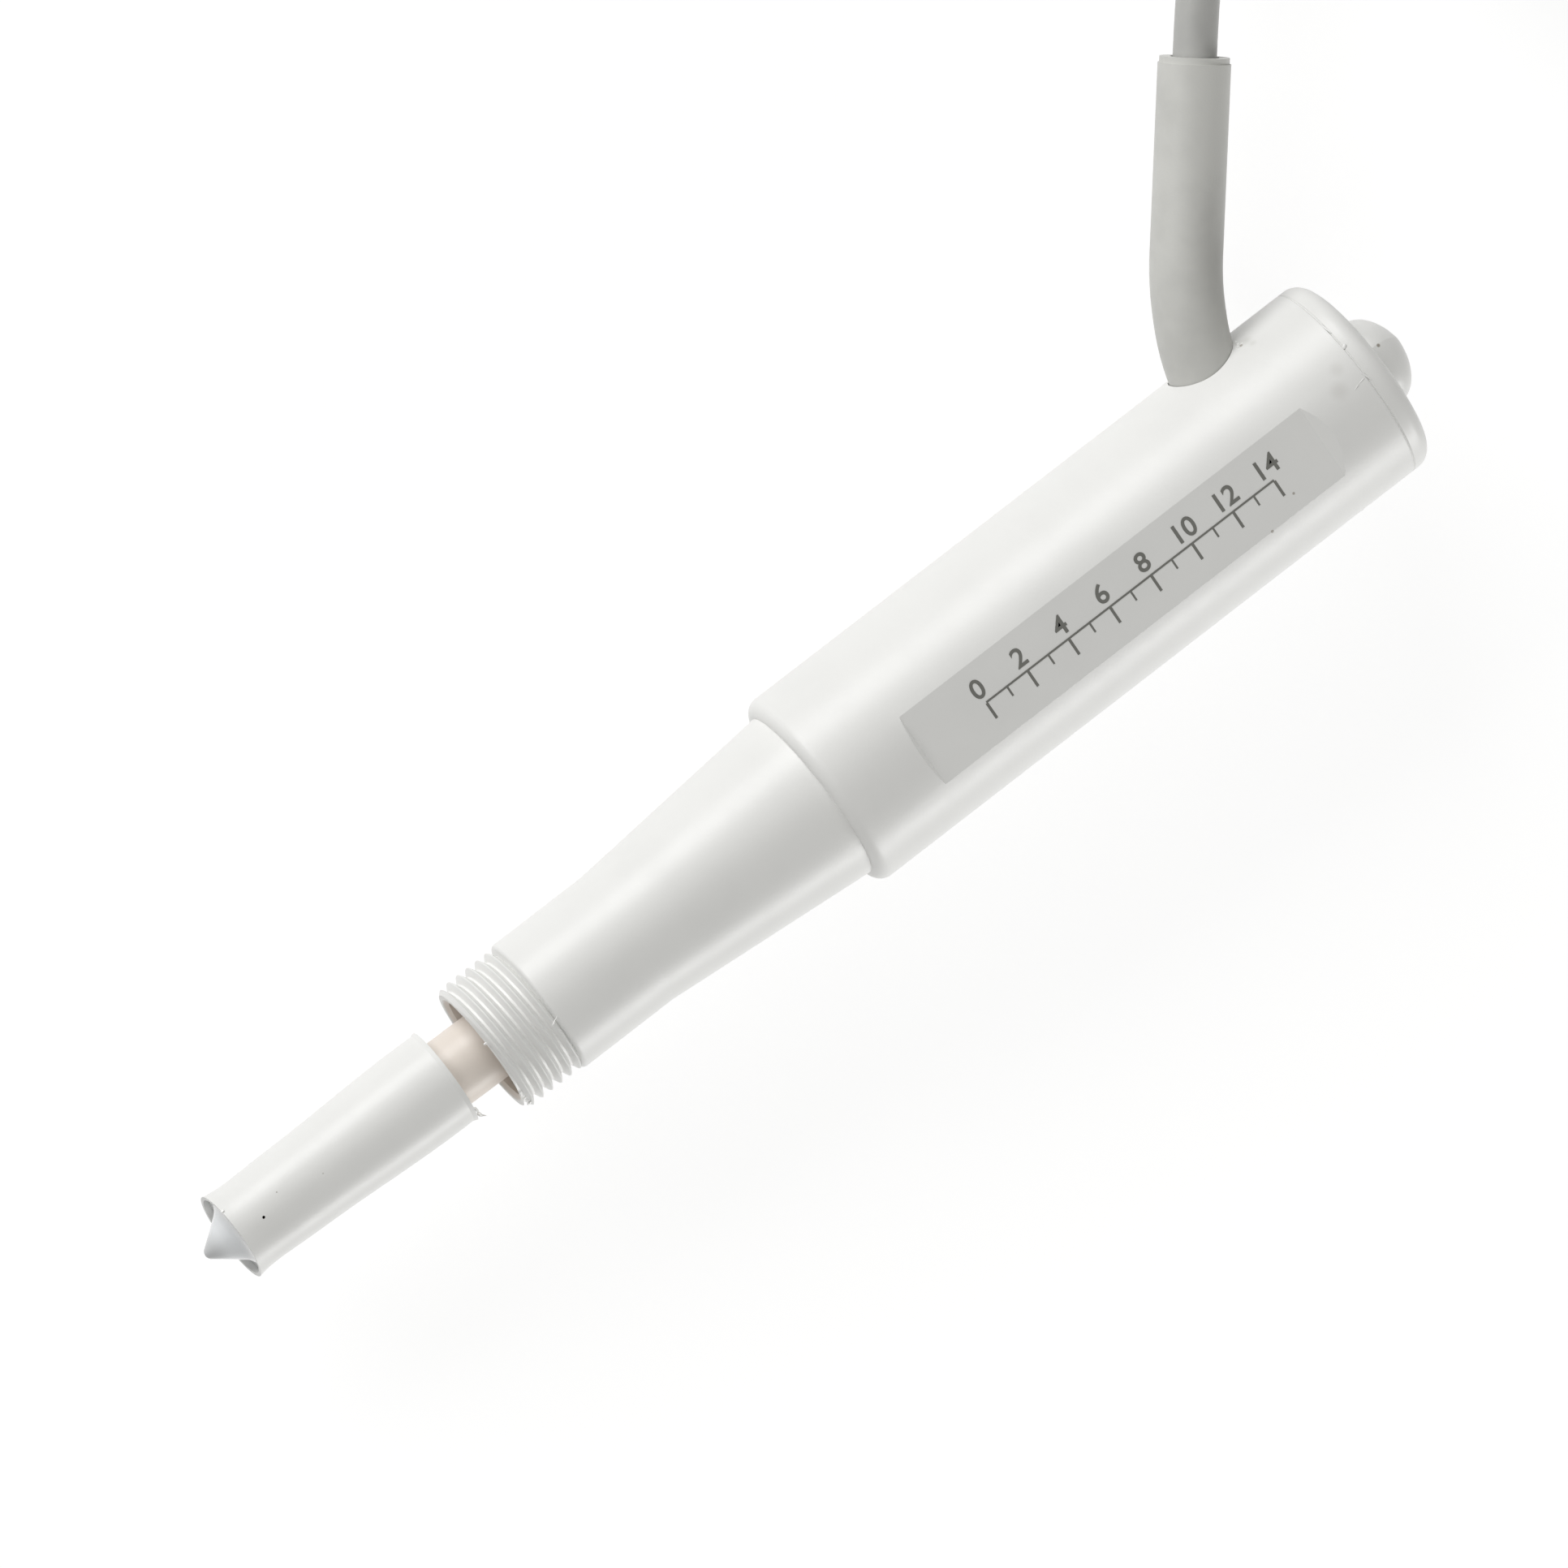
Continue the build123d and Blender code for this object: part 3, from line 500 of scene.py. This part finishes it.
def make_scale():
    """Generic print on the label flat: a line of ticks under plain numbers."""
    ink = moulded("print_grey", (0.43, 0.43, 0.41), 0.5, 0.05)
    builder = bmesh.new()
    for i in range(print_marks):
        x = print_start + i * print_pitch
        width, drop = long_tick if i % 2 == 0 else short_tick
        flat_box(builder, (x - width / 2, print_line - drop), (x + width / 2, print_line), print_height)
    last = print_start + (print_marks - 1) * print_pitch
    flat_box(builder, (print_start, print_line), (last, print_line + print_line_width), print_height)
    ticks = bpy.data.meshes.new("scale_ticks")
    builder.to_mesh(ticks)
    builder.free()
    add_piece("scale_ticks", ticks, ink)
    for i in range(0, print_marks, 2):
        text = bpy.data.curves.new(f"scale_number_{i}", "FONT")
        text.body = str(i)
        text.size = print_size * MM
        text.offset = number_weight * MM
        text.extrude = print_height / 2 * MM
        text.align_x = "CENTER"
        typed = bpy.data.objects.new(f"typed_{i}", text)
        bpy.context.collection.objects.link(typed)
        bpy.context.view_layer.update()
        mesh = bpy.data.meshes.new_from_object(typed.evaluated_get(bpy.context.evaluated_depsgraph_get()))
        bpy.data.objects.remove(typed)
        x = front_x + (print_start + i * print_pitch) * MM
        y = (print_line + number_lift) * MM
        mesh.transform(Matrix.Translation((x, y, label_z + print_height / 2 * MM)))
        mesh.materials.clear()
        add_piece(f"scale_number_{i}", mesh, ink)


def add_lump(name, place, size, turn, finish):
    """An uneven drop or shaving: a ball stretched to a size, turned round X and Z and roughened."""
    builder = bmesh.new()
    bmesh.ops.create_icosphere(builder, subdivisions=3, radius=1.0)
    for vert in builder.verts:
        ripple = noise.noise(vert.co * lump_ripple + Vector(place) * lump_shift)
        vert.co *= 1 + lump_roughness * ripple
    mesh = bpy.data.meshes.new(name)
    builder.to_mesh(mesh)
    builder.free()
    mesh.transform(Matrix.Diagonal([c * MM for c in size]).to_4x4())
    about_x, about_z = (math.radians(c) for c in turn)
    mesh.transform(Matrix.Rotation(about_z, 4, "Z") @ Matrix.Rotation(about_x, 4, "X"))
    mesh.transform(Matrix.Translation(place))
    mesh.shade_smooth()
    add_piece(name, mesh, finish)


def make_flaws():
    """Glue at the cable's root, flash on the seam, shavings on the moulded edges, and a painted highlight at
    the sleeve's end.
    """
    raw_and_glint = bright("raw_edge_and_glint")
    glue = [
        (68.95, 12.28, 1.5, (0.30, 0.16, 0.34), (-12, 0)), (68.85, 12.2, 2.3, (0.26, 0.14, 0.30), (-12, 0)),
        (68.6, 12.1, 2.9, (0.24, 0.13, 0.26), (-12, 0)), (69.25, 12.32, 0.7, (0.22, 0.12, 0.3), (-12, 0)),
        (69.3, 12.15, 2.6, (0.18, 0.1, 0.2), (-12, 0)),
    ]
    seam = [
        (77.15, 6.95, 10.42, (0.32, 0.22, 0.05), (-34, 35)), (77.0, 3.2, 12.1, (0.12, 0.8, 0.03), (-15, 20)),
        (76.2, 3.05, 12.13, (0.5, 0.06, 0.03), (-14, 12)), (75.3, 2.8, 12.19, (0.5, 0.05, 0.025), (-13, 20)),
        (77.0, 9.3, 8.36, (0.1, 0.9, 0.03), (-48, 8)), (69.9, -12.15, 2.75, (0.35, 0.14, 0.12), (0, -10)),
    ]
    edges = [
        (-47.28, 2.87, 7.68, (0.22, 0.14, 0.12), (0, 0)), (-47.0, -5.44, 6.0, (0.25, 0.2, 0.15), (0, 0)),
        (-46.7, -6.9, 4.3, (0.3, 0.2, 0.12), (30, 0)), (-39.6, 0.3, 8.5, (0.6, 0.05, 0.04), (0, 25)),
    ]
    rim = [
        (-51.95, -3.77, 4.73, (0.15, 0.45, 0.08), (-38, 0)),
        (-51.85, -4.7, 3.85, (0.2, 0.4, 0.06), (-50, 15)),
        (-51.6, -5.3, 3.1, (0.35, 0.08, 0.05), (-60, -30)),
        (-51.3, -5.55, 2.6, (0.3, 0.05, 0.04), (-60, -55)),
    ]
    for kind, lumps, placed, finish in (
        ("glue_drop", glue, on_probe, raw_and_glint),
        ("seam_flash", seam, on_probe, finishes["white_plastic"]),
        ("thread_burr", edges, on_probe, raw_and_glint),
        ("rim_burr", rim, on_electrode, raw_and_glint),
    ):
        for i, (along, aside, up, size, turn) in enumerate(lumps):
            add_lump(f"{kind}_{i}", placed(along, aside, up), size, turn, finish)
    # Painted highlight: a bright glossy lump put where the sleeve's end glints
    add_lump("end_glint", on_electrode(-81.62, 4.15, 3.55), (0.2, 0.16, 0.08), (-50, 0), raw_and_glint)


def set_camera():
    """The photograph looks down on the probe, a little from the cable's side and from the tip."""
    along = Vector((1, 0, 0))
    to_camera = Vector((
        -math.sin(view_tilt),
        math.cos(view_tilt) * math.sin(view_lean),
        math.cos(view_tilt) * math.cos(view_lean),
    ))
    probe_line = (along - to_camera * along.dot(to_camera)).normalized()
    across = to_camera.cross(probe_line)
    right = probe_line * math.cos(view_roll) - across * math.sin(view_roll)
    up = probe_line * math.sin(view_roll) + across * math.cos(view_roll)
    target = Vector((look_ahead, 0, axis_z)) + across * look_aside
    data = bpy.data.cameras.new("camera")
    data.lens = lens_mm
    data.sensor_width = sensor_mm
    data.clip_end = 20
    camera = bpy.data.objects.new("camera", data)
    turn = Matrix((right, up, to_camera)).transposed().to_4x4()
    camera.matrix_world = Matrix.Translation(target + to_camera * camera_distance) @ turn
    bpy.context.collection.objects.link(camera)
    bpy.context.scene.camera = camera


def set_world():
    """White where it is seen, and an even room as light."""
    world = bpy.data.worlds.new("studio")
    bpy.context.scene.world = world
    world.use_nodes = True
    world.node_tree.nodes.clear()
    nodes = Nodes(world.node_tree)
    room = nodes.node("ShaderNodeBackground", room_colour, room_strength).outputs[0]
    backdrop = nodes.node("ShaderNodeBackground", (1, 1, 1, 1)).outputs[0]
    shown = nodes.node("ShaderNodeMixShader", nodes.seen_directly(), room, backdrop).outputs[0]
    nodes.node("ShaderNodeOutputWorld", shown)


def make_floor():
    """A white floor: mostly its own white where it is seen, with the object's soft shadow left in it."""
    mesh = bpy.data.meshes.new("floor")
    corners = [(x * floor_reach, y * floor_reach, 0) for x, y in ((-1, -1), (1, -1), (1, 1), (-1, 1))]
    mesh.from_pydata(corners, [], [(0, 1, 2, 3)])
    floor = bpy.data.objects.new("floor", mesh)
    bpy.context.collection.objects.link(floor)
    material = bpy.data.materials.new("floor_white")
    material.use_nodes = True
    material.node_tree.nodes.clear()
    nodes = Nodes(material.node_tree)
    matte = nodes.node("ShaderNodeBsdfDiffuse", (floor_matte, floor_matte, floor_matte, 1)).outputs[0]
    shadowed = nodes.node("ShaderNodeBsdfDiffuse", (floor_seen, floor_seen, floor_seen, 1)).outputs[0]
    glow = nodes.node("ShaderNodeEmission", (1, 1, 1, 1), floor_glow).outputs[0]
    seen = nodes.node("ShaderNodeAddShader", shadowed, glow).outputs[0]
    shown = nodes.node("ShaderNodeMixShader", nodes.seen_directly(), matte, seen).outputs[0]
    nodes.node("ShaderNodeOutputMaterial", shown)
    mesh.materials.append(material)


def add_lamp(name, direction, height, power):
    """A soft box that looks at the probe from a direction."""
    data = bpy.data.lights.new(name, "AREA")
    data.shape = "RECTANGLE"
    data.size = box_width
    data.size_y = height
    data.energy = power
    lamp = bpy.data.objects.new(name, data)
    away = Vector(direction).normalized()
    lamp.location = away * box_distance
    lamp.rotation_euler = away.to_track_quat("Z", "Y").to_euler()
    bpy.context.collection.objects.link(lamp)


bpy.context.scene.view_settings.view_transform = "Standard"
dress_nodes()
make_cable()
make_scale()
make_flaws()
set_camera()
set_world()
make_floor()
for box in soft_boxes:
    add_lamp(**box)
